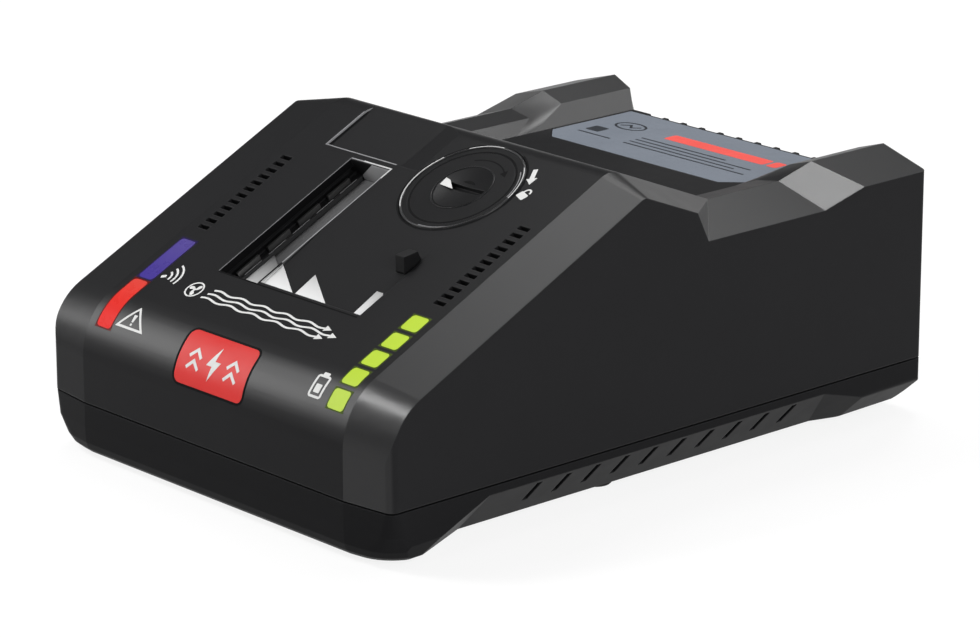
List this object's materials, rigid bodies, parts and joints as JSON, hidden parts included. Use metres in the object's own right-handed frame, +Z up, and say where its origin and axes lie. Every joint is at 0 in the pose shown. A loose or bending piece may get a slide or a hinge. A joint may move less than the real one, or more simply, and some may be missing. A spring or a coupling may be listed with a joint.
{
  "type": "power tool battery charger",
  "caption": "Wedge-shaped charger for slide-on tool batteries, with a sloped bay, guide slot, fast-charge button, charge lights, turning module cover and cooling fan.",
  "frame": {"origin": "middle of the footprint, on the surface the feet stand on", "axes": "+X to the right seen from the front, +Y from the low front to the rear wall, +Z up"},
  "size_m": [0.15, 0.211, 0.0904],
  "materials": {
    "shell": "fine spark-eroded texture, satin",
    "lower_shell": "fine spark-eroded texture, satin",
    "label": "satin silver-grey film",
    "black_plastic": "satin",
    "pale_plastic": "satin",
    "contact_metal": "nickel plated",
    "red_lens": "translucent lens",
    "blue_lens": "translucent lens",
    "green_lens": "translucent lens",
    "button_red": "glossy",
    "board": "solder resist",
    "led": "lamp body",
    "rubber": "matte",
    "steel": "zinc plated",
    "cell_steel": "satin",
    "ferrite": "sintered",
    "winding": "polyester tape",
    "can": "sleeved can",
    "aluminium": "extruded",
    "copper": "enamelled wire",
    "blue_plastic": "moulded",
    "grey_plastic": "moulded",
    "glass": "clear"
  },
  "bodies": {
    "housing": {"upper_housing": "shell", "lower_housing": "lower_shell", "label_plate": "label", "coding_key": "black_plastic", "lead_in_plates": "pale_plastic", "contact_carrier": "black_plastic", "contact_blades": "contact_metal", "fault_light_pipe": "red_lens", "connection_light_pipe": "blue_lens", "charge_light_pipe": "green_lens", "light_chips": "led", "display_board": "board", "switch_board": "board", "tact_switch": "steel", "radio_module": "black_plastic", "coin_cell": "cell_steel", "main_board": "board", "transformer_core": "ferrite", "transformer_winding": "winding", "bulk_capacitors": "can", "output_capacitors": "can", "heat_sink": "aluminium", "power_transistors": "black_plastic", "line_choke": "copper", "film_capacitor": "blue_plastic", "power_relay": "black_plastic", "fuse": "glass", "fuse_clips": "contact_metal", "board_connector": "grey_plastic", "mains_terminal": "grey_plastic", "fan_frame": "black_plastic", "cord_inlet": "rubber", "cord_clamp": "black_plastic", "cord_clamp_screws": "steel", "board_screws": "steel", "housing_screws": "steel", "rubber_feet": "rubber"},
    "button": {"fast_charge_button": "button_red"},
    "cover": {"module_cover": "shell", "cover_seal": "rubber"},
    "fan_rotor": {"fan_impeller": "black_plastic"}
  },
  "joints": [
    {"name": "button_press", "type": "slide", "parent": "housing", "child": "button", "axis": [0, 0.8581, -0.5135], "range_m": [0, 0.001], "stiffness_N_per_m": 900},
    {"name": "cover_turn", "type": "hinge", "parent": "housing", "child": "cover", "pos_m": [0.0177, -0.02649, 0.08167], "axis": [0, -0.4368, 0.8996], "range_deg": [0, 45]},
    {"name": "fan_spin", "type": "hinge", "parent": "housing", "child": "fan_rotor", "pos_m": [0, 0.0895, 0.0336], "axis": [0, 1, 0], "continuous": true}
  ]
}
